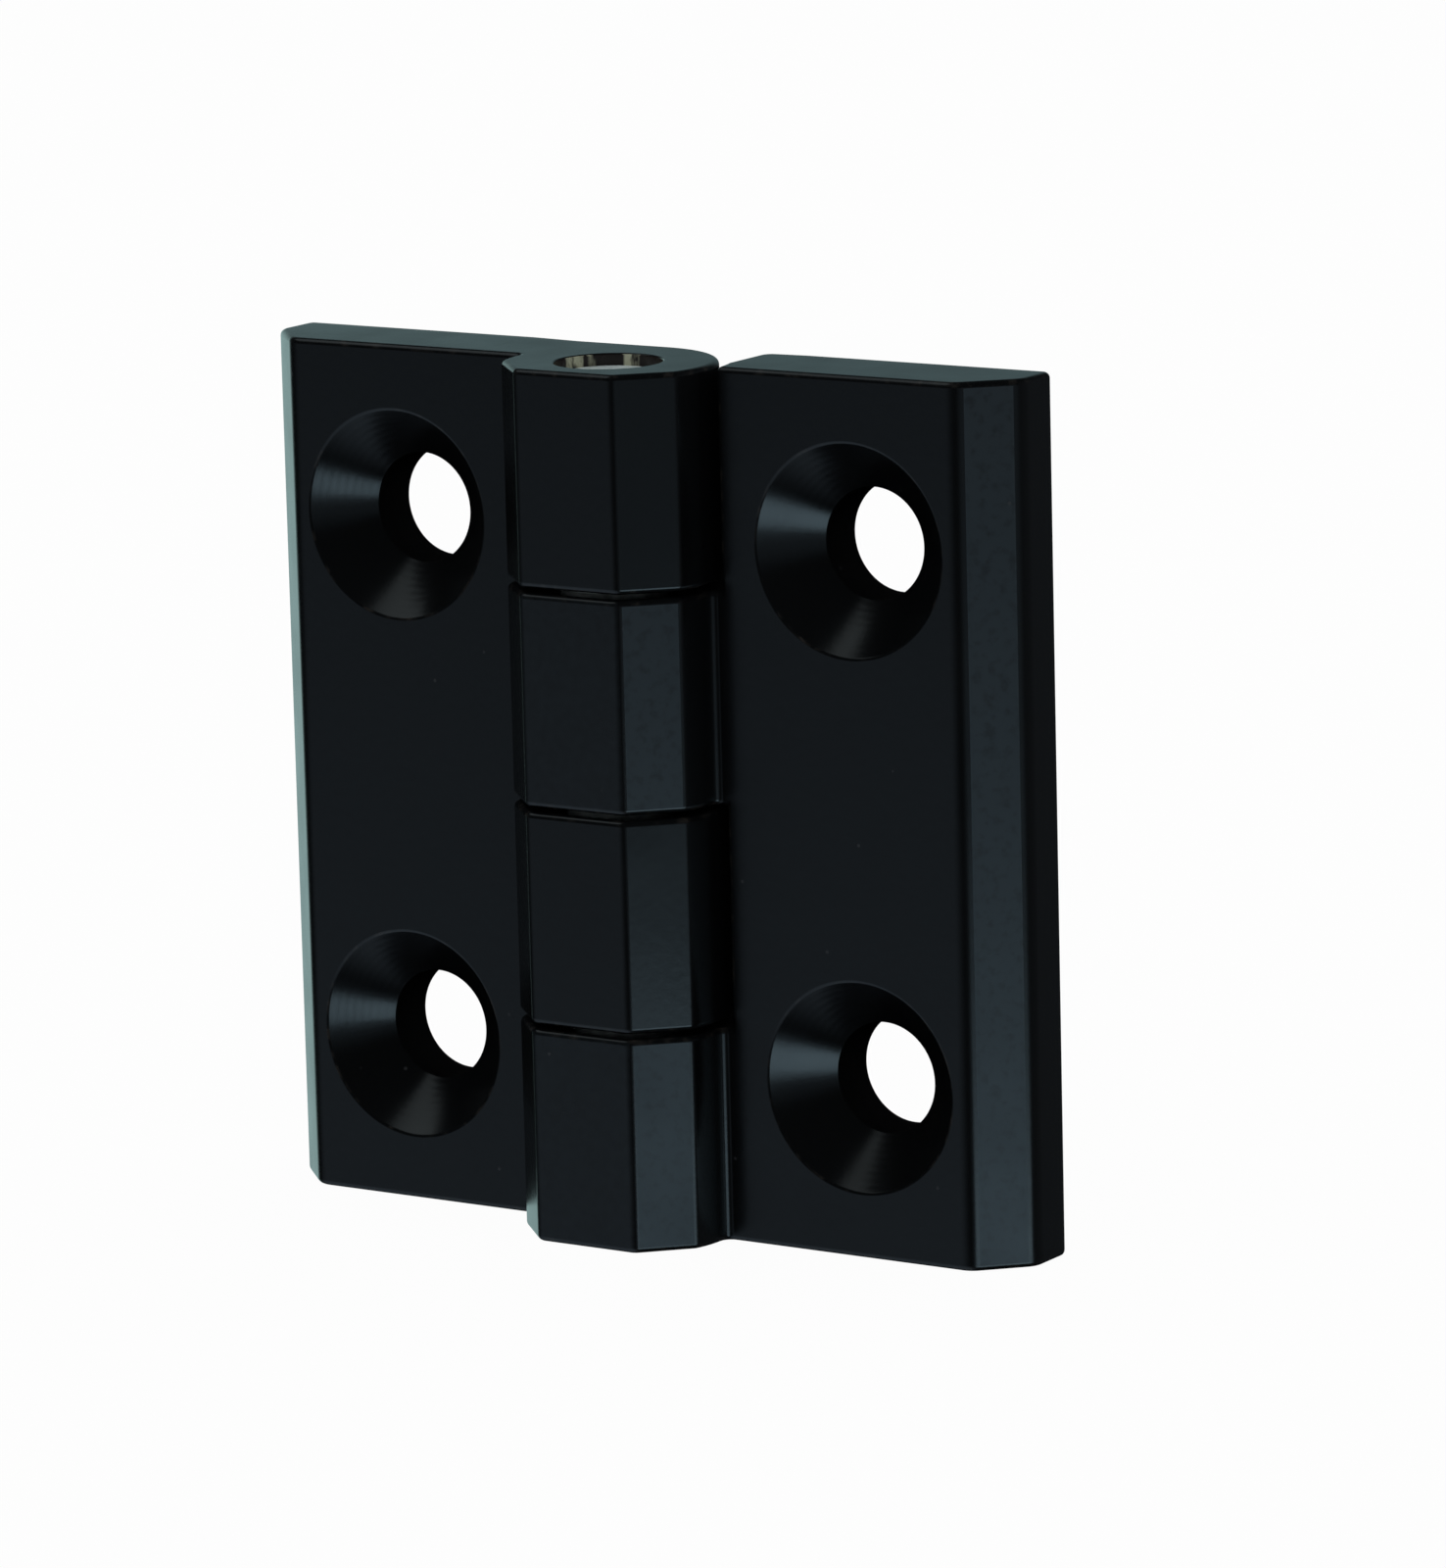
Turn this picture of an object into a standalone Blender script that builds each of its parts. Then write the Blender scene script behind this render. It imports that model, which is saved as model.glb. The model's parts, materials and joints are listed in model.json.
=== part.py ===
# Screw-on door hinge: two equal cast leaves that turn on one steel pin, lying open and flat.
# Metres. +Z runs up the pin and +X along the right leaf. The leaves are screwed on by their +Y
# faces and show their -Y faces. The origin is under the middle of the standing hinge.
import math

import bmesh
import bpy
from mathutils import Matrix

# Leaf, with its distances taken from the pin's axis
HINGE_HEIGHT = 0.0500
LEAF_REACH = 0.0250
LEAF_THICKNESS = 0.0060
LEAF_CHAMFER = 0.0028
CORNER_RADIUS = 0.0012           # rounds a leaf's outer end towards the wall
HEEL_RADIUS = 0.0008             # and its inner end
CAST_EDGE = 0.00035              # rounding that the mould leaves on every edge

# Knuckles, the four eyes of the joint
KNUCKLE_COUNT = 4
KNUCKLE_GAP = 0.0003
KNUCKLE_RADIUS = 0.0062
KNUCKLE_FRONT = 0.0047           # from the axis to the flat front
KNUCKLE_CHAMFER = 0.0026
KNUCKLE_FILLET = 0.0004          # where the knuckle rises from its leaf
BACK_STEP = 0.0003               # keeps the knuckle's back off the wall
BACK_SLOPE_START = 0.0060        # from the axis, where the leaf's back begins to slope to the wall
BACK_SLOPE_END = 0.0092
SWING_CLEARANCE = 0.0006         # between a turning knuckle and the other leaf's inner end
HEEL_CLEARANCE = 0.00025         # between heel and knuckle's neck, with a leaf swung back a quarter turn

# Countersunk screw holes, two to a leaf
SCREW_HOLE_RADIUS = 0.0032
COUNTERSINK_RADIUS = 0.00605
COUNTERSINK_HALF_ANGLE = math.radians(45)
HOLE_FROM_AXIS = 0.0152
HOLE_FROM_END = 0.0098

# Pin and its bore
PIN_RADIUS = 0.0030
PIN_RECESS = 0.00095             # the pin ends this far inside the outer knuckles
PIN_CHAMFER = 0.0003
BORE_CLEARANCE = 0.00006
BORE_RIM = 0.00015

# Fineness of the round shapes, in facets to a full turn, and how far cutters run past
ROUND_FACETS = 48
CORNER_FACETS = 3
SIDE_FACETS = 4
BACK_FACETS = 15
EDGE_FACETS = 2
ROUND_OFF_ABOVE = math.radians(30)
OVERSHOOT = 0.001

# Places that follow from the sizes above
AXIS_FROM_WALL = KNUCKLE_RADIUS + BACK_STEP
HINGE_DEPTH = AXIS_FROM_WALL + KNUCKLE_FRONT
AXIS_Y = HINGE_DEPTH / 2 - AXIS_FROM_WALL
FACE_FROM_AXIS = AXIS_FROM_WALL - LEAF_THICKNESS
KNUCKLE_PITCH = HINGE_HEIGHT / KNUCKLE_COUNT
FACET_EDGE = math.sqrt(KNUCKLE_RADIUS ** 2 - (KNUCKLE_FRONT - KNUCKLE_CHAMFER) ** 2)
FLAT_HALF_WIDTH = FACET_EDGE - KNUCKLE_CHAMFER
SWING_RADIUS = max(KNUCKLE_RADIUS, math.hypot(FLAT_HALF_WIDTH, KNUCKLE_FRONT))
INNER_END = KNUCKLE_RADIUS + HEEL_CLEARANCE
BACK_SLOPE = math.atan2(BACK_STEP, BACK_SLOPE_END - BACK_SLOPE_START)
BORE_RADIUS = PIN_RADIUS + BORE_CLEARANCE


def clear_scene():
    for old in list(bpy.data.objects):
        bpy.data.objects.remove(old, do_unlink=True)


def principled(name, colour, roughness, metallic):
    material = bpy.data.materials.new(name)
    material.use_nodes = True
    shader = material.node_tree.nodes["Principled BSDF"]
    shader.inputs["Base Color"].default_value = (*colour, 1)
    shader.inputs["Roughness"].default_value = roughness
    shader.inputs["Metallic"].default_value = metallic
    return material


def add_object(name, mesh):
    thing = bpy.data.objects.new(name, mesh)
    bpy.context.scene.collection.objects.link(thing)
    return thing


def arc(centre, radius, start, end, steps):
    # Points on an arc, both ends included, with its angles in degrees from +X
    points = []
    for step in range(steps + 1):
        angle = math.radians(start + (end - start) * step / steps)
        points.append((centre[0] + radius * math.cos(angle), centre[1] + radius * math.sin(angle)))
    return points


def extruded(bm, outline, bottom, top):
    # Adds a prism with the given XY outline to the mesh
    ring = [bm.verts.new((x, y, bottom)) for x, y in outline]
    floor = bm.faces.new(ring)
    raised = bmesh.ops.extrude_face_region(bm, geom=[floor])["geom"]
    lifted = [item for item in raised if isinstance(item, bmesh.types.BMVert)]
    bmesh.ops.translate(bm, verts=lifted, vec=(0, 0, top - bottom))


def turned(bm, profile, facets=ROUND_FACETS):
    # Adds a body turned round Z from (radius, height) pairs, closed by flat ends
    rings = []
    for radius, height in profile:
        ring = []
        for step in range(facets):
            angle = 2 * math.pi * step / facets
            ring.append(bm.verts.new((radius * math.cos(angle), radius * math.sin(angle), height)))
        rings.append(ring)
    for lower, upper in zip(rings, rings[1:]):
        for step in range(facets):
            after = (step + 1) % facets
            bm.faces.new((lower[step], lower[after], upper[after], upper[step]))
    bm.faces.new(rings[0])
    bm.faces.new(rings[-1])


def to_mesh(bm, name):
    bmesh.ops.recalc_face_normals(bm, faces=bm.faces)
    mesh = bpy.data.meshes.new(name)
    bm.to_mesh(mesh)
    bm.free()
    return mesh


def shade_round(mesh):
    mesh.shade_smooth()
    mesh.set_sharp_from_angle(angle=ROUND_OFF_ABOVE)


def leaf_outline():
    # Section through the right leaf and its knuckle, with the pin's axis at (0, 0)
    radius, front = KNUCKLE_RADIUS, -KNUCKLE_FRONT
    facet_angle = math.degrees(math.acos(FACET_EDGE / radius))
    fillet_y = FACE_FROM_AXIS - KNUCKLE_FILLET
    fillet_x = math.sqrt((radius + KNUCKLE_FILLET) ** 2 - fillet_y ** 2)
    fillet_angle = math.degrees(math.atan2(fillet_y, fillet_x))
    corner = (LEAF_REACH - CORNER_RADIUS, AXIS_FROM_WALL - CORNER_RADIUS)
    return [
        *arc(corner, CORNER_RADIUS, 90, 0, CORNER_FACETS),
        (LEAF_REACH, FACE_FROM_AXIS + LEAF_CHAMFER),
        (LEAF_REACH - LEAF_CHAMFER, FACE_FROM_AXIS),
        *arc((fillet_x, fillet_y), KNUCKLE_FILLET, 90, 180 + fillet_angle, CORNER_FACETS),
        *arc((0, 0), radius, fillet_angle, -facet_angle, SIDE_FACETS)[1:],
        (FLAT_HALF_WIDTH, front),
        (-FLAT_HALF_WIDTH, front),
        *arc((0, 0), radius, 180 + facet_angle, 90, BACK_FACETS),
        (BACK_SLOPE_START, radius),
        (BACK_SLOPE_END, AXIS_FROM_WALL),
    ]


def notch_outline():
    # What is cut away beside the other leaf's knuckles: hollow round the turning knuckle, then
    # straight to this leaf's heel, whose arc runs into the sloped back
    hollow_radius = SWING_RADIUS + SWING_CLEARANCE
    hollow = arc((0, 0), hollow_radius, 0, math.degrees(math.acos(INNER_END / hollow_radius)), SIDE_FACETS)
    heel_x = INNER_END + HEEL_RADIUS
    slope_above_heel = KNUCKLE_RADIUS + (heel_x - BACK_SLOPE_START) * math.tan(BACK_SLOPE)
    heel_y = slope_above_heel - HEEL_RADIUS / math.cos(BACK_SLOPE)
    heel = arc((heel_x, heel_y), HEEL_RADIUS, 180, 90 + math.degrees(BACK_SLOPE), CORNER_FACETS)
    before, last = heel[-2], heel[-1]
    past = (2 * last[0] - before[0], 2 * last[1] - before[1])
    far_side = -(KNUCKLE_RADIUS + OVERSHOOT)
    in_front = -(KNUCKLE_FRONT + OVERSHOOT)
    behind = AXIS_FROM_WALL + OVERSHOOT
    return [
        (hollow_radius, in_front),
        *hollow,
        *heel[:-1],
        past,
        (past[0], behind),
        (far_side, behind),
        (far_side, in_front),
    ]


def knuckle_cutter():
    # The spaces for the other leaf's knuckles, which are every second one from below
    bm = bmesh.new()
    for index in range(1, KNUCKLE_COUNT, 2):
        bottom = index * KNUCKLE_PITCH - HINGE_HEIGHT / 2 - KNUCKLE_GAP / 2
        top = bottom + KNUCKLE_PITCH + KNUCKLE_GAP
        if index == KNUCKLE_COUNT - 1:
            top += OVERSHOOT
        extruded(bm, notch_outline(), bottom, top)
    return to_mesh(bm, "knuckle_cutter")


def bore_cutter():
    # The pin's bore, with a broken edge at the knuckle that ends the hinge
    end = -HINGE_HEIGHT / 2
    bm = bmesh.new()
    turned(bm, [
        (BORE_RADIUS + BORE_RIM + OVERSHOOT, end - OVERSHOOT),
        (BORE_RADIUS, end + BORE_RIM),
        (BORE_RADIUS, -end + OVERSHOOT),
    ])
    return to_mesh(bm, "bore_cutter")


def screw_cutter():
    # Both screw holes of a leaf, turned round Z and then laid along the screws
    spread = math.tan(COUNTERSINK_HALF_ANGLE)
    sink_depth = (COUNTERSINK_RADIUS - SCREW_HOLE_RADIUS) / spread
    bm = bmesh.new()
    turned(bm, [
        (SCREW_HOLE_RADIUS, -AXIS_FROM_WALL - OVERSHOOT),
        (SCREW_HOLE_RADIUS, -FACE_FROM_AXIS - sink_depth),
        (COUNTERSINK_RADIUS + OVERSHOOT * spread, -FACE_FROM_AXIS + OVERSHOOT),
    ])
    bmesh.ops.rotate(bm, verts=bm.verts, cent=(0, 0, 0), matrix=Matrix.Rotation(math.pi / 2, 3, "X"))
    from_middle = HINGE_HEIGHT / 2 - HOLE_FROM_END
    first = list(bm.verts) + list(bm.edges) + list(bm.faces)
    second = bmesh.ops.duplicate(bm, geom=first)["geom"]
    copies = [item for item in second if isinstance(item, bmesh.types.BMVert)]
    originals = [item for item in first if isinstance(item, bmesh.types.BMVert)]
    bmesh.ops.translate(bm, verts=originals, vec=(HOLE_FROM_AXIS, 0, from_middle))
    bmesh.ops.translate(bm, verts=copies, vec=(HOLE_FROM_AXIS, 0, -from_middle))
    return to_mesh(bm, "screw_cutter")


def leaf_casting():
    # One casting serves as both leaves: bevelled before it is drilled, as the mould rounds it
    bm = bmesh.new()
    extruded(bm, leaf_outline(), -HINGE_HEIGHT / 2, HINGE_HEIGHT / 2)
    blank = add_object("casting_blank", to_mesh(bm, "casting_blank"))
    cutters = []

    def cut(mesh):
        cutter = add_object(mesh.name, mesh)
        cutter.hide_render = True
        cutter.display_type = "WIRE"
        cutters.append(cutter)
        step = blank.modifiers.new(mesh.name, "BOOLEAN")
        step.operation = "DIFFERENCE"
        step.solver = "EXACT"
        step.object = cutter

    cut(knuckle_cutter())
    rounding = blank.modifiers.new("cast_edges", "BEVEL")
    rounding.width = CAST_EDGE
    rounding.segments = EDGE_FACETS
    rounding.limit_method = "ANGLE"
    rounding.angle_limit = ROUND_OFF_ABOVE
    rounding.use_clamp_overlap = False
    cut(bore_cutter())
    cut(screw_cutter())

    graph = bpy.context.evaluated_depsgraph_get()
    casting = bpy.data.meshes.new_from_object(blank.evaluated_get(graph))
    casting.name = "leaf_casting"
    for used in (blank, *cutters):
        bpy.data.objects.remove(used, do_unlink=True)
    shade_round(casting)
    return casting


def pin_mesh():
    half = HINGE_HEIGHT / 2 - PIN_RECESS
    bm = bmesh.new()
    turned(bm, [
        (PIN_RADIUS - PIN_CHAMFER, -half),
        (PIN_RADIUS, -half + PIN_CHAMFER),
        (PIN_RADIUS, half - PIN_CHAMFER),
        (PIN_RADIUS - PIN_CHAMFER, half),
    ])
    mesh = to_mesh(bm, "pin")
    shade_round(mesh)
    return mesh


def build_hinge():
    coating = principled("black_coating", (0.012, 0.0135, 0.015), 0.42, 0)
    steel = principled("bright_steel", (0.62, 0.61, 0.60), 0.28, 1)
    axis_middle = (0, AXIS_Y, HINGE_HEIGHT / 2)

    casting = leaf_casting()
    casting.materials.append(coating)
    right_leaf = add_object("right_leaf", casting)
    right_leaf.location = axis_middle
    left_leaf = add_object("left_leaf", casting)
    left_leaf.location = axis_middle
    left_leaf.rotation_euler = (0, math.pi, 0)

    pin = add_object("hinge_pin", pin_mesh())
    pin.data.materials.append(steel)
    pin.location = axis_middle


clear_scene()
build_hinge()
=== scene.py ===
import json
import math

import bmesh
import bpy
from mathutils import Matrix, Vector

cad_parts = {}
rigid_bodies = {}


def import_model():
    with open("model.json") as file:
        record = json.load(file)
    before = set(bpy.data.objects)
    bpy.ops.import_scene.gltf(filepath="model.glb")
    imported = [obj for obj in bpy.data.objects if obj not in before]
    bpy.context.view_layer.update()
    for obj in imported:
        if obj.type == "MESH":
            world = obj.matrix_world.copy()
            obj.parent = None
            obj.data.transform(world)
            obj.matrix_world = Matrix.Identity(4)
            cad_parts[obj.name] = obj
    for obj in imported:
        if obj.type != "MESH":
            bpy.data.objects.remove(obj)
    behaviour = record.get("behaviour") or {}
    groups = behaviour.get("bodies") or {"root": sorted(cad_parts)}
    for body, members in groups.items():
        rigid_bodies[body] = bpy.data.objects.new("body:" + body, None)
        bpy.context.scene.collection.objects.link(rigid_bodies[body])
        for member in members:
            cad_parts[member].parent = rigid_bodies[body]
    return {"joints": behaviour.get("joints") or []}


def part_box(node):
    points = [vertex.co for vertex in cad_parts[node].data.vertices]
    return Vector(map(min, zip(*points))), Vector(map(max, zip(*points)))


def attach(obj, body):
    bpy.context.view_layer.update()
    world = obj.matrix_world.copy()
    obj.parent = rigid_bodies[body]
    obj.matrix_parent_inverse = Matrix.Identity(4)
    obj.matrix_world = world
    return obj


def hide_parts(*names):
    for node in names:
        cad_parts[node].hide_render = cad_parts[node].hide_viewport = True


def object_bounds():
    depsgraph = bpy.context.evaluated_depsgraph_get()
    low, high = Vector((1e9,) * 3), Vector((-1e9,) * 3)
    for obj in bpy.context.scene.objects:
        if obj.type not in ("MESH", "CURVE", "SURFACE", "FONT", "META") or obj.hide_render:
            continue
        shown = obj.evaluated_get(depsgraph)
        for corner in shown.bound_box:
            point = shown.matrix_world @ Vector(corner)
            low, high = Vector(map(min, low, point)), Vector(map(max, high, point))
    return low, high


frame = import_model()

scene = bpy.context.scene
scene.view_settings.view_transform = "Standard"
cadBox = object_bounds()
mm = 0.001
hinge = frame["joints"][0]
axisPoint = Vector(hinge["pos_m"])  # on the pin, halfway up
leafLow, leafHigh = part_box("right_leaf")
pinLow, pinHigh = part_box("hinge_pin")
print("frame loaded: black hinge,", [round((high - low) / mm, 1) for low, high in zip(*cadBox)], "mm")


# Camera

cameraLook = {
    "azimuth": 32.99,       # degrees, from the front towards the right
    "elevation": 11.16,
    "roll": -1.43,
    "distance": 0.5532,
    "target": (-0.03969, 0.07093, 0.00961),
    "focalPixels": 8497,
    "imageHeight": 1600,
    "sensor": 36.0,
}


def makeCamera(look):
    azimuth, elevation, roll = (math.radians(look[key]) for key in ("azimuth", "elevation", "roll"))
    back = Vector((
        math.sin(azimuth) * math.cos(elevation),
        -math.cos(azimuth) * math.cos(elevation),
        math.sin(elevation),
    ))
    level = Vector((0, 0, 1)).cross(back).normalized()
    upright = back.cross(level)
    right = math.cos(roll) * level + math.sin(roll) * upright
    up = back.cross(right)
    data = bpy.data.cameras.new("photoCamera")
    data.sensor_width = look["sensor"]
    data.lens = look["focalPixels"] / look["imageHeight"] * look["sensor"]
    data.clip_start = 0.01
    camera = bpy.data.objects.new("photoCamera", data)
    scene.collection.objects.link(camera)
    turn = Matrix((right, up, back)).transposed().to_4x4()
    camera.matrix_world = Matrix.Translation(Vector(look["target"]) + back * look["distance"]) @ turn
    scene.camera = camera


makeCamera(cameraLook)
print("camera set")


# Studio

studioLook = {
    "floorHalf": 1.6,
    "paper": 0.8,           # the table's own white
    "paperShare": 0.03,     # how much of the object's shadow the white table shows
    "skyDiffuse": 0.55,
    "baseMirrored": (0.014, 0.018, 0.020),   # what the coat mirrors where no soft patch reaches
}

# Soft patches of light that only the coat's mirroring shows, named for where they lie seen from the
# hinge: (azimuth from +X, elevation, half width, all in degrees, colour with its strength)
patchLook = {
    "left": (146, -8, 28, (0.58, 0.86, 0.85)),
    "front": (237, -48, 52, (0.30, 0.38, 0.46)),
    "right": (327, -20, 34, (0.115, 0.152, 0.182)),
    "behindLeft": (118, 14, 30, (0.120, 0.186, 0.195)),
    "behindRight": (35, -8, 60, (0.038, 0.042, 0.048)),
}

lampLook = {
    # name: (direction from the hinge, distance, width, height, watts, colour)
    "topLeftBox": ((-0.535, -0.19, 0.82), 0.7, 0.45, 0.40, 0.30, (0.85, 0.97, 1.0)),
}

# A pale card low on the right, brighter towards its lower edge, that the coat mirrors
cardLook = {
    "azimuth": 333,
    "distance": 0.20,
    "width": 0.12,
    "top": -0.026,
    "bottom": -0.150,
    "fullAt": -0.048,
    "strength": 2.2,
    "tint": (0.60, 0.85, 1.0),
}

# A black flag close behind the hinge, so that no light comes through the screw holes
flagLook = {
    "behind": 1.5 * mm,
    "inset": 1.0 * mm,
}


def emissionNode(nodes, strength, colour=(1, 1, 1)):
    emission = nodes.new("ShaderNodeEmission")
    emission.inputs["Color"].default_value = (*colour, 1)
    emission.inputs["Strength"].default_value = strength
    return emission


def mixedByRay(nodes, links, ray, other, chosen):
    # Shows the chosen shader to one kind of ray and the other shader to the rest
    path = nodes.new("ShaderNodeLightPath")
    mix = nodes.new("ShaderNodeMixShader")
    links.new(path.outputs[ray], mix.inputs[0])
    links.new(other.outputs[0], mix.inputs[1])
    links.new(chosen.outputs[0], mix.inputs[2])
    return mix


def maths(nodes, links, operation, first, second=None):
    node = nodes.new("ShaderNodeMath")
    node.operation = operation
    for socket, value in zip(node.inputs, (first, second)):
        if isinstance(value, (int, float)):
            socket.default_value = value
        elif value is not None:
            links.new(value, socket)
    return node.outputs[0]


def spread(nodes, links, value, fromLow, fromHigh, low, high, smooth=False):
    node = nodes.new("ShaderNodeMapRange")
    if smooth:
        node.interpolation_type = "SMOOTHSTEP"
    limits = {"From Min": fromLow, "From Max": fromHigh, "To Min": low, "To Max": high}
    for label, number in limits.items():
        node.inputs[label].default_value = number
    links.new(value, node.inputs["Value"])
    return node.outputs["Result"]


def aimed(azimuth, elevation):
    turn, rise = math.radians(azimuth), math.radians(elevation)
    return Vector((math.cos(turn) * math.cos(rise), math.sin(turn) * math.cos(rise), math.sin(rise)))


def facing(nodes, links, place, azimuth, elevation):
    # How far a place lies, or a direction points, that way
    aim = nodes.new("ShaderNodeVectorMath")
    aim.operation = "DOT_PRODUCT"
    links.new(place, aim.inputs[0])
    aim.inputs[1].default_value = aimed(azimuth, elevation)
    return aim.outputs["Value"]


def makeWorld(look, patches):
    world = bpy.data.worlds.new("studioWorld")
    world.use_nodes = True
    scene.world = world
    nodes, links = world.node_tree.nodes, world.node_tree.links
    nodes.clear()

    def background(strength, colour=(1, 1, 1)):
        shader = nodes.new("ShaderNodeBackground")
        shader.inputs["Color"].default_value = (*colour, 1)
        shader.inputs["Strength"].default_value = strength
        return shader

    direction = nodes.new("ShaderNodeTexCoord").outputs["Generated"]
    light = None
    for azimuth, elevation, halfWidth, colour in patches.values():
        near = facing(nodes, links, direction, azimuth, elevation)
        edge = math.cos(math.radians(halfWidth))
        patch = spread(nodes, links, near, edge, 1, 0, 1, smooth=True)
        added = nodes.new("ShaderNodeVectorMath")
        added.operation = "MULTIPLY_ADD"
        links.new(patch, added.inputs[0])
        added.inputs[1].default_value = colour
        added.inputs[2].default_value = look["baseMirrored"]
        if light is not None:
            links.new(light, added.inputs[2])
        light = added.outputs["Vector"]
    mirrored = background(1.0)
    links.new(light, mirrored.inputs["Color"])
    lit = mixedByRay(nodes, links, "Is Glossy Ray", background(look["skyDiffuse"]), mirrored)
    seen = mixedByRay(nodes, links, "Is Camera Ray", lit, background(1.0))
    output = nodes.new("ShaderNodeOutputWorld")
    links.new(seen.outputs[0], output.inputs["Surface"])


def staged(name, corners):
    # A flat piece of the studio with a material of its own
    mesh = bpy.data.meshes.new(name)
    mesh.from_pydata(corners, [], [(0, 1, 2, 3)])
    thing = bpy.data.objects.new(name, mesh)
    scene.collection.objects.link(thing)
    material = bpy.data.materials.new(name)
    material.use_nodes = True
    material.node_tree.nodes.clear()
    mesh.materials.append(material)
    return thing, material.node_tree.nodes, material.node_tree.links


def onlyMirrored(thing):
    thing.visible_camera = False
    thing.visible_diffuse = False
    thing.visible_shadow = False
    thing.visible_transmission = False


def makeTable(look):
    # The coat doesn't mirror the table, but the patches and the card under its horizon
    half = look["floorHalf"]
    corners = [(-half, -half, 0), (half, -half, 0), (half, half, 0), (-half, half, 0)]
    table, nodes, links = staged("table", corners)
    table.visible_glossy = False
    paper = nodes.new("ShaderNodeBsdfDiffuse")
    paper.inputs["Color"].default_value = (look["paper"], look["paper"], look["paper"], 1)
    white = nodes.new("ShaderNodeMixShader")
    white.inputs[0].default_value = 1 - look["paperShare"]
    links.new(paper.outputs[0], white.inputs[1])
    links.new(emissionNode(nodes, 1.0).outputs[0], white.inputs[2])
    seen = mixedByRay(nodes, links, "Is Camera Ray", paper, white)
    output = nodes.new("ShaderNodeOutputMaterial")
    links.new(seen.outputs[0], output.inputs["Surface"])


def makeCard(look):
    middle = aimed(look["azimuth"], 0) * look["distance"]
    across = aimed(look["azimuth"] + 90, 0) * look["width"] / 2
    bottom, top = look["bottom"], look["top"]
    corners = [
        (*(middle + side * across).xy, level)
        for side, level in ((1, bottom), (-1, bottom), (-1, top), (1, top))
    ]
    card, nodes, links = staged("lowCard", corners)
    onlyMirrored(card)
    axes = nodes.new("ShaderNodeSeparateXYZ")
    links.new(nodes.new("ShaderNodeTexCoord").outputs["Object"], axes.inputs[0])
    strength = look["strength"]
    light = spread(nodes, links, axes.outputs["Z"], top, look["fullAt"], 0, strength, smooth=True)
    emission = emissionNode(nodes, 1.0, look["tint"])
    links.new(light, emission.inputs["Strength"])
    output = nodes.new("ShaderNodeOutputMaterial")
    links.new(emission.outputs[0], output.inputs["Surface"])


def makeFlag(look):
    low, high = cadBox
    left, right = low.x + look["inset"], high.x - look["inset"]
    bottom, top = low.z + look["inset"], high.z - look["inset"]
    y = high.y + look["behind"]
    corners = [(left, y, bottom), (right, y, bottom), (right, y, top), (left, y, top)]
    flag, nodes, links = staged("flag", corners)
    onlyMirrored(flag)
    output = nodes.new("ShaderNodeOutputMaterial")
    links.new(emissionNode(nodes, 0.0).outputs[0], output.inputs["Surface"])


def makeLamps(lamps):
    middle = (cadBox[0] + cadBox[1]) / 2
    for name, (direction, distance, width, height, watts, colour) in lamps.items():
        data = bpy.data.lights.new(name, "AREA")
        data.shape = "RECTANGLE"
        data.size = width
        data.size_y = height
        data.energy = watts
        data.color = colour
        lamp = bpy.data.objects.new(name, data)
        scene.collection.objects.link(lamp)
        towards = Vector(direction).normalized()
        lamp.location = middle + towards * distance
        lamp.rotation_mode = "QUATERNION"
        lamp.rotation_quaternion = towards.to_track_quat("Z", "Y")
        lamp.visible_camera = False


makeWorld(studioLook, patchLook)
makeTable(studioLook)
makeCard(cardLook)
makeFlag(flagLook)
makeLamps(lampLook)
print("studio lit")


# Finishes

coatLook = {
    "colour": (0.0021, 0.0025, 0.0030),
    "slantPaintedSheen": (0.0150, 0.0240, 0.0310),    # painted sheen: slanted sides made lighter, as if they mirrored more light; they are also more matt
    "frontShare": 0.14,         # how much of that painted sheen and added roughness the fronts of the same knuckles have
    "wornColour": (0.050, 0.044, 0.038),
    "speckColour": (0.045, 0.047, 0.050),
    "roughness": 0.23,
    "roughnessSpread": 0.03,
    "cloudSize": 4.0 * mm,      # of the patches with more or less roughness
    "slantRoughness": 0.13,
    "peelSize": 0.55 * mm,      # the coat's soft unevenness
    "peelDepth": 0.0035 * mm,
    "mottleSize": 0.55 * mm,    # of the painted sheen on the slanted sides
    "mottleDepth": 0.5,
    "wearSize": 0.7 * mm,
    "wearShare": 0.40,          # at most, on the rounded edges
    "grainSize": 0.12 * mm,
    "grainDepth": 0.0012 * mm,
    "speckSpacing": 3.2 * mm,
    "speckSize": 0.045,         # as a share of the spacing
    "speckShare": 0.6,
    "ringSpacing": 0.34 * mm,   # turning marks in the countersinks
    "ringDepth": 0.0007 * mm,
    "ringFade": 0.3 * mm,       # inside the countersink's rim
}

pinLook = {
    "radius": 3.0 * mm,
    "chamfer": 0.3 * mm,
    "endRaise": 0.3 * mm,       # nearer to the knuckles' ends than the solid model's pin
    "steps": 96,
    "colour": (0.80, 0.92, 0.91),
    "metallic": 0.20,
    "smoothest": 0.34,
    "roughest": 0.52,
    "cloudSize": 0.6 * mm,
    "dullShare": 0.6,           # of the colour, where the steel is dull
    "turningSpacing": 0.16 * mm,
    "turningDepth": 0.003 * mm,
}

boreLook = {
    "bareGlintColour": (0.50, 0.51, 0.37),
    # the bore's dark colour between the glints
    "darkColour": (0.012, 0.007, 0.006),
    "metallic": 0.1,
    "smoothest": 0.22,
    "roughest": 0.40,
    # Painted glints, set as bare metal where the bore's glints fall: (degrees round the axis from +X,
    # half width)
    "bareGlintPatches": ((163, 12), (141, 2.5), (98, 9)),
    "patchEdge": 0.01 * mm,
    "streak": 0.5 * mm,
    "streakStretch": 0.4,       # along the bore, so that a streak runs down it
}


def newMaterial(name):
    material = bpy.data.materials.new(name)
    material.use_nodes = True
    nodes, links = material.node_tree.nodes, material.node_tree.links
    return material, nodes, links, nodes["Principled BSDF"]


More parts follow.
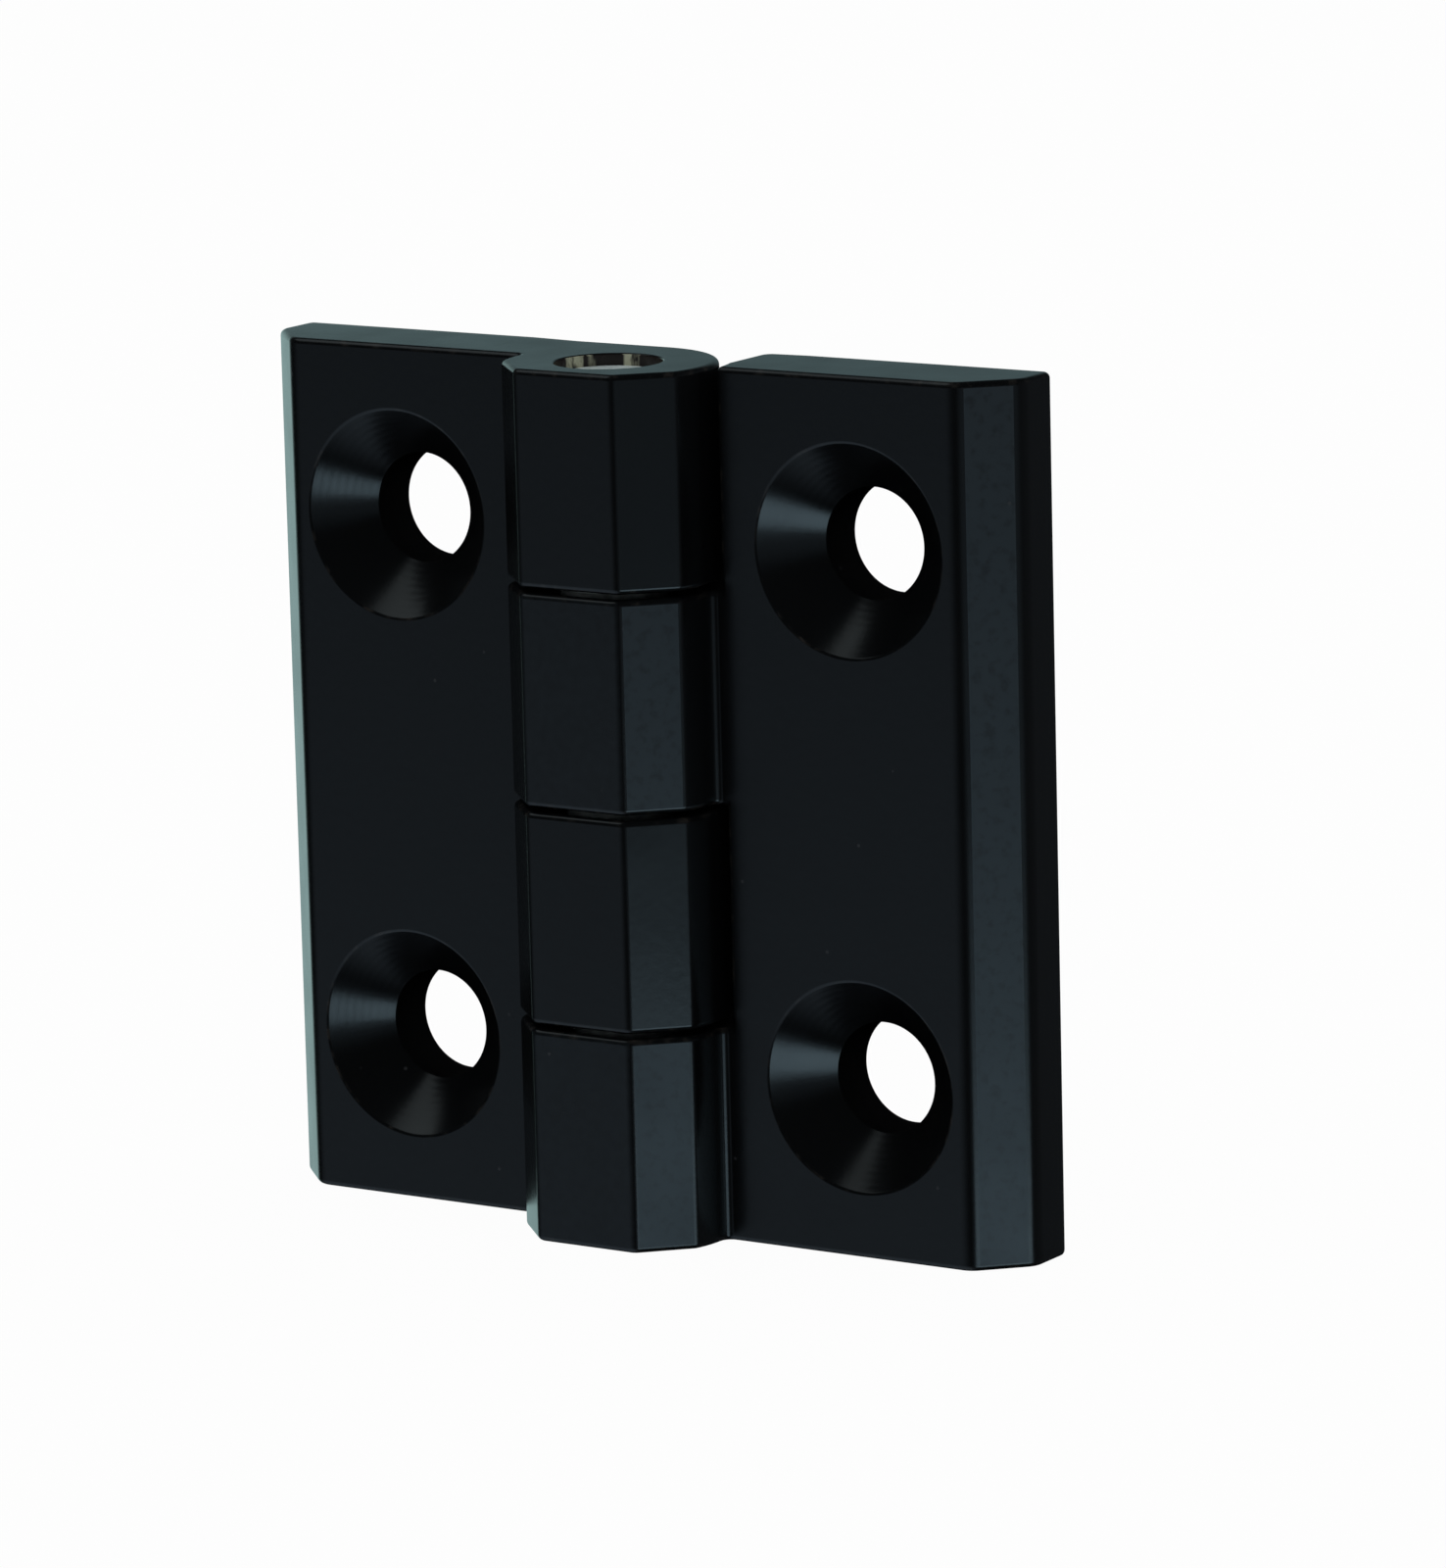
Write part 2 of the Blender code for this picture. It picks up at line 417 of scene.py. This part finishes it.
def noise(nodes, links, place, size, detail=2.0):
    texture = nodes.new("ShaderNodeTexNoise")
    texture.inputs["Scale"].default_value = 1 / size
    texture.inputs["Detail"].default_value = detail
    links.new(place, texture.inputs["Vector"])
    return texture.outputs["Fac"]


def tinted(nodes, links, share, colour, other):
    # Two colours mixed by a share; the first may be a fixed colour or a socket
    mix = nodes.new("ShaderNodeMix")
    mix.data_type = "RGBA"
    links.new(share, mix.inputs["Factor"])
    for socket, value in ((mix.inputs[6], colour), (mix.inputs[7], other)):
        if isinstance(value, tuple):
            socket.default_value = (*value, 1)
        else:
            links.new(value, socket)
    return mix.outputs[2]


def bumped(nodes, links, height, depth, before=None):
    bump = nodes.new("ShaderNodeBump")
    bump.inputs["Strength"].default_value = 1.0
    bump.inputs["Distance"].default_value = depth
    links.new(height, bump.inputs["Height"])
    if before is not None:
        links.new(before, bump.inputs["Normal"])
    return bump.outputs["Normal"]


def marked(nodes, name):
    # A value that the mesh carries
    attribute = nodes.new("ShaderNodeAttribute")
    attribute.attribute_name = name
    return attribute.outputs["Fac"]


def sinkRings(nodes, links, place, look):
    # Rings round the nearest screw hole, fading out at the countersink's rim
    axes = nodes.new("ShaderNodeSeparateXYZ")
    links.new(place, axes.inputs[0])
    fromMiddle = height / 2 - leafLook["holeFromEnd"]
    across = maths(nodes, links, "ABSOLUTE", axes.outputs["X"])
    across = maths(nodes, links, "SUBTRACT", across, leafLook["holeFromAxis"])
    along = maths(nodes, links, "SUBTRACT", axes.outputs["Z"], axisPoint.z)
    along = maths(nodes, links, "ABSOLUTE", along)
    along = maths(nodes, links, "SUBTRACT", along, fromMiddle)
    squares = maths(nodes, links, "ADD", maths(nodes, links, "MULTIPLY", across, across),
                    maths(nodes, links, "MULTIPLY", along, along))
    radius = maths(nodes, links, "SQRT", squares)
    turns = maths(nodes, links, "MULTIPLY", radius, 2 * math.pi / look["ringSpacing"])
    ring = maths(nodes, links, "SINE", turns)
    rim = leafLook["sinkRadius"]
    inside = spread(nodes, links, radius, rim - look["ringFade"], rim, 1, 0)
    return maths(nodes, links, "MULTIPLY", ring, inside)


def blackCoat(look):
    material, nodes, links, shader = newMaterial("blackPowderCoat")
    place = nodes.new("ShaderNodeTexCoord").outputs["Object"]
    cloud = noise(nodes, links, place, look["cloudSize"], 3)
    peel = noise(nodes, links, place, look["peelSize"], 1)
    grain = noise(nodes, links, place, look["grainSize"], 2)
    mottle = noise(nodes, links, place, look["mottleSize"], 4)
    # the slanted sides: rougher, and lighter by painted sheen
    slant = marked(nodes, "mattAndPaintedSheen")
    depth = look["mottleDepth"]
    blotches = spread(nodes, links, mottle, 0.3, 0.7, 1 - depth, 1 + depth)
    mottledPaintedSheen = maths(nodes, links, "MULTIPLY", slant, blotches)
    rubs = noise(nodes, links, place, look["wearSize"], 4)
    rubbed = spread(nodes, links, rubs, 0.52, 0.75, 0, look["wearShare"])
    wear = maths(nodes, links, "MULTIPLY", marked(nodes, "edgeWear"), rubbed)
    cells = nodes.new("ShaderNodeTexVoronoi")
    cells.inputs["Scale"].default_value = 1 / look["speckSpacing"]
    links.new(place, cells.inputs["Vector"])
    size, share = look["speckSize"], look["speckShare"]
    speck = spread(nodes, links, cells.outputs["Distance"], size * 0.4, size, share, 0)

    # painted sheen: the slanted sides and, faintly, the knuckles' fronts made lighter, mottled
    colour = tinted(nodes, links, mottledPaintedSheen, look["colour"], look["slantPaintedSheen"])
    colour = tinted(nodes, links, wear, colour, look["wornColour"])
    colour = tinted(nodes, links, speck, colour, look["speckColour"])
    links.new(colour, shader.inputs["Base Color"])

    least = look["roughness"] - look["roughnessSpread"]
    most = look["roughness"] + look["roughnessSpread"]
    rough = spread(nodes, links, cloud, 0.3, 0.7, least, most)
    slantRough = maths(nodes, links, "MULTIPLY", slant, look["slantRoughness"])
    rough = maths(nodes, links, "ADD", rough, slantRough)
    links.new(rough, shader.inputs["Roughness"])

    normal = bumped(nodes, links, peel, look["peelDepth"])
    normal = bumped(nodes, links, grain, look["grainDepth"], normal)
    normal = bumped(nodes, links, sinkRings(nodes, links, place, look), look["ringDepth"], normal)
    links.new(normal, shader.inputs["Normal"])
    return material


def turnedSteel(look):
    # The pin: fine rings on its ends from turning
    material, nodes, links, shader = newMaterial("turnedPinSteel")
    place = nodes.new("ShaderNodeTexCoord").outputs["Object"]
    shader.inputs["Metallic"].default_value = look["metallic"]
    cloud = noise(nodes, links, place, look["cloudSize"], 4)
    dull = tuple(look["dullShare"] * part for part in look["colour"])
    dulled = spread(nodes, links, cloud, 0.35, 0.65, 0, 1)
    links.new(tinted(nodes, links, dulled, look["colour"], dull), shader.inputs["Base Color"])
    rough = spread(nodes, links, cloud, 0.3, 0.7, look["smoothest"], look["roughest"])
    links.new(rough, shader.inputs["Roughness"])
    flat = nodes.new("ShaderNodeVectorMath")
    flat.operation = "MULTIPLY"
    links.new(place, flat.inputs[0])
    flat.inputs[1].default_value = (1, 1, 0)
    fromAxis = nodes.new("ShaderNodeVectorMath")
    fromAxis.operation = "DISTANCE"
    links.new(flat.outputs[0], fromAxis.inputs[0])
    fromAxis.inputs[1].default_value = (axisPoint.x, axisPoint.y, 0)
    perLength = 2 * math.pi / look["turningSpacing"]
    turns = maths(nodes, links, "MULTIPLY", fromAxis.outputs["Value"], perLength)
    rings = maths(nodes, links, "SINE", turns)
    links.new(bumped(nodes, links, rings, look["turningDepth"]), shader.inputs["Normal"])
    return material


def glintPaintedBore(look):
    # Drilled metal, dark, with painted glints as bare streaks within a few patches set where the glints
    # fall
    material, nodes, links, shader = newMaterial("glintPaintedBoreMetal")
    place = nodes.new("ShaderNodeTexCoord").outputs["Object"]
    stretch = nodes.new("ShaderNodeMapping")
    stretch.inputs["Scale"].default_value = (1, 1, look["streakStretch"])
    links.new(place, stretch.inputs["Vector"])
    streak = noise(nodes, links, stretch.outputs[0], look["streak"], 3)
    # painted glints: bare metal within the patches, broken into streaks
    bareGlint = 0.0
    for azimuth, halfWidth in look["bareGlintPatches"]:
        out = facing(nodes, links, place, azimuth, 0)
        fromAxis = maths(nodes, links, "SUBTRACT", out, axisPoint.dot(aimed(azimuth, 0)))
        edge = leafLook["boreRadius"] * math.cos(math.radians(halfWidth))
        patch = spread(nodes, links, fromAxis, edge - look["patchEdge"], edge + look["patchEdge"], 0, 1)
        bareGlint = maths(nodes, links, "MAXIMUM", patch, bareGlint)
    bareGlint = maths(nodes, links, "MULTIPLY", bareGlint, spread(nodes, links, streak, 0.40, 0.58, 0, 1))
    # the dark colour, with the painted glints' bare metal in the patches
    colour = tinted(nodes, links, bareGlint, look["darkColour"], look["bareGlintColour"])
    links.new(colour, shader.inputs["Base Color"])
    shader.inputs["Metallic"].default_value = look["metallic"]
    rough = spread(nodes, links, streak, 0.3, 0.7, look["roughest"], look["smoothest"])
    links.new(rough, shader.inputs["Roughness"])
    return material


# Leaves: one casting, cut and drilled by a Geometry Nodes row of cutters

leafLook = {
    "thickness": 6.0 * mm,
    "chamfer": 2.8 * mm,
    "knuckleChamfer": 2.6 * mm,
    "knuckleFillet": 0.45 * mm,
    "backStep": 0.3 * mm,
    "backSlopeStart": 6.0 * mm,
    "backSlopeEnd": 9.2 * mm,
    "hollowRadius": 6.8 * mm,       # inner end, round the other leaf's turning knuckle
    "innerEnd": 6.45 * mm,
    "knuckleCount": 4,
    "knuckleGap": 0.3 * mm,
    "holeFromAxis": 15.2 * mm,
    "holeFromEnd": 9.8 * mm,
    "holeRadius": 3.2 * mm,
    "sinkRadius": 6.05 * mm,
    "boreRadius": 3.06 * mm,
    "cornerRounding": 0.5 * mm,     # outer back corner
    "chamferRounding": 1.4 * mm,
    "knuckleRounding": 0.75 * mm,
    "heelRounding": 0.8 * mm,
    "endRounding": 0.34 * mm,
    "rimRounding": 0.12 * mm,
    "turnSteps": 96,                # to a full turn
    "edgeSteps": 5,
    "rimSteps": 3,
}

reach = leafHigh.x - axisPoint.x
wall = leafHigh.y - axisPoint.y
front = leafLow.y - axisPoint.y
knuckleRadius = axisPoint.x - leafLow.x
height = leafHigh.z - leafLow.z
face = wall - leafLook["thickness"]
coat = blackCoat(coatLook)
steel = turnedSteel(pinLook)
bore = glintPaintedBore(boreLook)
print("finishes made")


def meshFrom(bm, name):
    bmesh.ops.recalc_face_normals(bm, faces=bm.faces)
    mesh = bpy.data.meshes.new(name)
    bm.to_mesh(mesh)
    bm.free()
    return mesh


def shown(name, mesh):
    thing = bpy.data.objects.new(name, mesh)
    scene.collection.objects.link(thing)
    return thing


def prism(outline, low, high, name):
    bm = bmesh.new()
    ring = [bm.verts.new((x, y, low)) for x, y in outline]
    raised = bmesh.ops.extrude_face_region(bm, geom=[bm.faces.new(ring)])["geom"]
    lifted = [item for item in raised if isinstance(item, bmesh.types.BMVert)]
    bmesh.ops.translate(bm, verts=lifted, vec=(0, 0, high - low))
    return meshFrom(bm, name)


def lathe(profile, steps, name):
    # A closed body turned round Z from pairs of radius and height
    bm = bmesh.new()
    rings = [
        [bm.verts.new((radius * math.cos(turn), radius * math.sin(turn), level))
         for turn in (2 * math.pi * step / steps for step in range(steps))]
        for radius, level in profile
    ]
    for lower, upper in zip(rings, rings[1:]):
        for step in range(steps):
            after = (step + 1) % steps
            bm.faces.new((lower[step], lower[after], upper[after], upper[step]))
    bm.faces.new(rings[0])
    bm.faces.new(rings[-1])
    return meshFrom(bm, name)


def rowOfCutsTree():
    # Takes a row of copies of the cutter out of the blank
    tree = bpy.data.node_groups.new("rowOfCuts", "GeometryNodeTree")
    sockets = {}
    for label, kind in (("Blank", "Geometry"), ("Cutter", "Object"), ("Count", "Int"),
                        ("First", "Vector"), ("Step", "Vector"), ("Finish", "Material")):
        socket = tree.interface.new_socket(label, in_out="INPUT", socket_type="NodeSocket" + kind)
        sockets[label] = socket.identifier
    tree.interface.new_socket("Cut", in_out="OUTPUT", socket_type="NodeSocketGeometry")
    nodes, link = tree.nodes, tree.links.new
    given = nodes.new("NodeGroupInput").outputs
    row = nodes.new("GeometryNodeMeshLine")
    link(given["Count"], row.inputs["Count"])
    link(given["First"], row.inputs["Start Location"])
    link(given["Step"], row.inputs["Offset"])
    cutter = nodes.new("GeometryNodeObjectInfo")
    link(given["Cutter"], cutter.inputs["Object"])
    copies = nodes.new("GeometryNodeInstanceOnPoints")
    link(row.outputs["Mesh"], copies.inputs["Points"])
    link(cutter.outputs["Geometry"], copies.inputs["Instance"])
    solid = nodes.new("GeometryNodeRealizeInstances")
    link(copies.outputs["Instances"], solid.inputs["Geometry"])
    cut = nodes.new("GeometryNodeMeshBoolean")
    cut.operation = "DIFFERENCE"
    cut.solver = "EXACT"
    link(given["Blank"], cut.inputs["Mesh 1"])
    link(solid.outputs["Geometry"], cut.inputs["Mesh 2"])
    rim = nodes.new("GeometryNodeStoreNamedAttribute")
    rim.domain = "EDGE"
    rim.data_type = "BOOLEAN"
    rim.inputs["Name"].default_value = "cutRim"
    link(cut.outputs["Mesh"], rim.inputs["Geometry"])
    link(cut.outputs["Intersecting Edges"], rim.inputs["Value"])
    plain = nodes.new("GeometryNodeRealizeInstances")
    link(rim.outputs["Geometry"], plain.inputs["Geometry"])
    finish = nodes.new("GeometryNodeSetMaterial")
    link(plain.outputs["Geometry"], finish.inputs["Geometry"])
    link(given["Finish"], finish.inputs["Material"])
    output = nodes.new("NodeGroupOutput")
    link(finish.outputs["Geometry"], output.inputs["Cut"])
    return tree, sockets


def settled(thing):
    # The evaluated mesh, plain, with the object itself taken away
    graph = bpy.context.evaluated_depsgraph_get()
    ready = thing.evaluated_get(graph)
    mesh = bpy.data.meshes.new_from_object(ready, preserve_all_data_layers=True, depsgraph=graph)
    bpy.data.objects.remove(thing, do_unlink=True)
    return mesh


def cutRow(mesh, cutterMesh, count, first, step):
    tree, sockets = cutTree
    blank = shown("blank", mesh)
    cutter = shown("cutter", cutterMesh)
    cutter.hide_render = True
    modifier = blank.modifiers.new("rowOfCuts", "NODES")
    modifier.node_group = tree
    given = {"Cutter": cutter, "Count": count, "First": first, "Step": step, "Finish": coat}
    for label, value in given.items():
        modifier[sockets[label]] = value
    result = settled(blank)
    bpy.data.objects.remove(cutter, do_unlink=True)
    return result


def placeOf(point):
    return tuple(round(part / (0.001 * mm)) for part in point)


def bevelled(mesh, picked, width, steps, edgePlaces):
    # Rounds the edges that picked() chooses, and notes where the rounding lies, for the finish
    bm = bmesh.new()
    bm.from_mesh(mesh)
    bmesh.ops.remove_doubles(bm, verts=bm.verts, dist=0.001 * mm)
    edges = [edge for edge in bm.edges if picked(bm, edge)]
    made = bmesh.ops.bevel(
        bm, geom=edges, offset=width, offset_type="OFFSET", segments=steps, profile=0.5,
        affect="EDGES", clamp_overlap=False, loop_slide=True, material=-1,
    )
    strips = set(made["faces"])
    edgePlaces.update(placeOf(vert.co) for vert in made["verts"] if strips.issuperset(vert.link_faces))
    bm.to_mesh(mesh)
    bm.free()
    return mesh


def sharpEdge(bm, edge):
    return len(edge.link_faces) == 2 and edge.calc_face_angle(0) > math.radians(30)


def rimEdge(bm, edge):
    return edge[bm.edges.layers.bool["cutRim"]] and sharpEdge(bm, edge)


def arc(centre, radius, start, end, steps=None):
    # Points on an arc, its ends included, with the angles in degrees
    steps = steps or max(2, round(abs(end - start) / 360 * leafLook["turnSteps"]))
    angles = [math.radians(start + (end - start) * step / steps) for step in range(steps + 1)]
    x, y = centre
    return [(x + radius * math.cos(angle), y + radius * math.sin(angle)) for angle in angles]


def roundedOutline(corners, steps):
    # Corners are (x, y) or, where an arc rounds them, (x, y, radius)
    outline = []
    for index, corner in enumerate(corners):
        here = Vector(corner[:2])
        if len(corner) == 2:
            outline.append(tuple(here))
            continue
        back = (Vector(corners[index - 1][:2]) - here).normalized()
        on = (Vector(corners[(index + 1) % len(corners)][:2]) - here).normalized()
        half = back.angle(on) / 2
        centre = here + (back + on).normalized() * corner[2] / math.sin(half)
        first = here + back * corner[2] / math.tan(half) - centre
        last = here + on * corner[2] / math.tan(half) - centre
        turn = -first.angle_signed(last)
        for step in range(steps + 1):
            outline.append(tuple(centre + Matrix.Rotation(turn * step / steps, 2) @ first))
    return outline


def leafOutline(look):
    # Section through the right leaf and its knuckle, with the pin's axis at (0, 0)
    slant, fillet, soft = (look[key] for key in ("knuckleChamfer", "knuckleFillet", "knuckleRounding"))
    radius = knuckleRadius
    facetEdge = math.sqrt(radius ** 2 - (front + slant) ** 2)
    facetAngle = math.degrees(math.acos(facetEdge / radius))
    filletY = face - fillet
    filletX = math.sqrt((radius + fillet) ** 2 - filletY ** 2)
    filletAngle = math.degrees(math.atan2(filletY, filletX))
    return roundedOutline([
        (reach, wall, look["cornerRounding"]),
        (reach, face + look["chamfer"], look["chamferRounding"]),
        (reach - look["chamfer"], face, look["chamferRounding"]),
        *arc((filletX, filletY), fillet, 90, 180 + filletAngle, look["edgeSteps"]),
        *arc((0, 0), radius, filletAngle, -facetAngle)[1:-1],
        (facetEdge, front + slant, soft),
        (facetEdge - slant, front, soft),
        (slant - facetEdge, front, soft),
        (-facetEdge, front + slant, soft),
        *arc((0, 0), radius, 180 + facetAngle, 90)[1:],
        (look["backSlopeStart"], radius),
        (look["backSlopeEnd"], wall),
    ], look["edgeSteps"])


def spaceOutline(look, past):
    # What the other leaf's knuckle needs: a hollow round it, then straight to the rounded heel
    inner, rounding = look["innerEnd"], look["heelRounding"]
    hollow = arc((0, 0), look["hollowRadius"], 0, math.degrees(math.acos(inner / look["hollowRadius"])))
    slope = math.atan2(look["backStep"], look["backSlopeEnd"] - look["backSlopeStart"])
    heelX = inner + rounding
    aboveHeel = wall - look["backStep"] + (heelX - look["backSlopeStart"]) * math.tan(slope)
    heelY = aboveHeel - rounding / math.cos(slope)
    heel = arc((heelX, heelY), rounding, 180, 90 + math.degrees(slope), look["edgeSteps"])
    beyond = 2 * Vector(heel[-1]) - Vector(heel[-2])
    farSide = -knuckleRadius - past
    return [
        (look["hollowRadius"], front - past),
        *hollow,
        *heel[:-1],
        tuple(beyond),
        (beyond.x, wall + past),
        (farSide, wall + past),
        (farSide, front - past),
    ]


def leafCasting(look):
    edgePlaces = set()
    mesh = prism(leafOutline(look), -height / 2, height / 2, "leafBlank")
    pitch = height / look["knuckleCount"]
    past = 1 * mm
    gap = look["knuckleGap"] / 2
    space = prism(spaceOutline(look, past), -gap, pitch + gap, "knuckleSpace")
    mesh = cutRow(mesh, space, look["knuckleCount"] // 2, (0, 0, pitch - height / 2), (0, 0, 2 * pitch))
    mesh = bevelled(mesh, sharpEdge, look["endRounding"], look["edgeSteps"], edgePlaces)

    screw = lathe([
        (look["holeRadius"], -wall - past),
        (look["holeRadius"], -face - look["sinkRadius"] + look["holeRadius"]),
        (look["sinkRadius"] + past, -face + past),
    ], look["turnSteps"], "screwCutter")
    screw.transform(Matrix.Rotation(math.pi / 2, 4, "X"))
    fromMiddle = height / 2 - look["holeFromEnd"]
    mesh = cutRow(mesh, screw, 2, (look["holeFromAxis"], 0, -fromMiddle), (0, 0, 2 * fromMiddle))
    mesh = bevelled(mesh, rimEdge, look["rimRounding"], look["rimSteps"], edgePlaces)
    drill = lathe([
        (look["boreRadius"], -height / 2 - past),
        (look["boreRadius"], height / 2 + past),
    ], look["turnSteps"], "boreCutter")
    mesh = cutRow(mesh, drill, 1, (0, 0, 0), (0, 0, 0))
    mesh = bevelled(mesh, rimEdge, look["rimRounding"], look["rimSteps"], edgePlaces)
    worn = [float(placeOf(vert.co) in edgePlaces) for vert in mesh.vertices]
    mesh.attributes.new("edgeWear", "FLOAT", "POINT").data.foreach_set("value", worn)
    return mesh


def finished(name, mesh, body, node):
    # Smooth shading weighted by face size keeps the flats flat beside their rounded edges
    mesh.shade_smooth()
    mesh.set_sharp_from_angle(angle=math.radians(35))
    draft = shown(name + "Draft", mesh)
    weighted = draft.modifiers.new("flatFaces", "WEIGHTED_NORMAL")
    weighted.keep_sharp = True
    piece = shown(name, settled(draft))
    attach(piece, body)
    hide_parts(node)
    return piece


def markSlants(mesh):
    # The flat slanted sides that face along the leaf, for the coat's roughness and painted sheen, and
    # faintly the knuckles' fronts
    slanted = Vector((1, -1, 0)).normalized()
    smallest = (2 * mm) ** 2            # smaller faces belong to the roundings
    frontLimit = front + 0.1 * mm
    values = []
    for polygon in mesh.polygons:
        if polygon.normal.dot(slanted) > 0.9995 and polygon.area > smallest:
            values.append(1.0)
        else:
            values.append(coatLook["frontShare"] if polygon.center.y < frontLimit else 0.0)
    mesh.attributes.new("mattAndPaintedSheen", "FLOAT", "FACE").data.foreach_set("value", values)


cutTree = rowOfCutsTree()
casting = leafCasting(leafLook)
casting.materials.clear()
for finish in (coat, bore):
    casting.materials.append(finish)
for polygon in casting.polygons:
    fromAxis = math.hypot(polygon.center.x, polygon.center.y)
    inBore = fromAxis < leafLook["boreRadius"] + 0.01 * mm and abs(polygon.normal.z) < 0.5
    polygon.material_index = 1 if inBore else 0
turnedOver = casting.copy()
turnedOver.transform(Matrix.Rotation(math.pi, 4, "Y"))
markSlants(casting)
for mesh, name, node, body in ((casting, "rightLeafCasting", "right_leaf", hinge["child"]),
                               (turnedOver, "leftLeafCasting", "left_leaf", hinge["parent"])):
    mesh.transform(Matrix.Translation(axisPoint))
    finished(name, mesh, body, node)
print("leaves cast:", len(casting.polygons), "faces each")


# Pin

def pinMesh(look):
    low = pinLow.z - axisPoint.z - look["endRaise"]
    high = pinHigh.z - axisPoint.z + look["endRaise"]
    mesh = lathe([
        (look["radius"] - look["chamfer"], low),
        (look["radius"], low + look["chamfer"]),
        (look["radius"], high - look["chamfer"]),
        (look["radius"] - look["chamfer"], high),
    ], look["steps"], "pin")
    mesh.transform(Matrix.Translation(axisPoint))
    mesh.materials.append(steel)
    return mesh


finished("groundPin", pinMesh(pinLook), hinge["parent"], "hinge_pin")
print("pin turned")
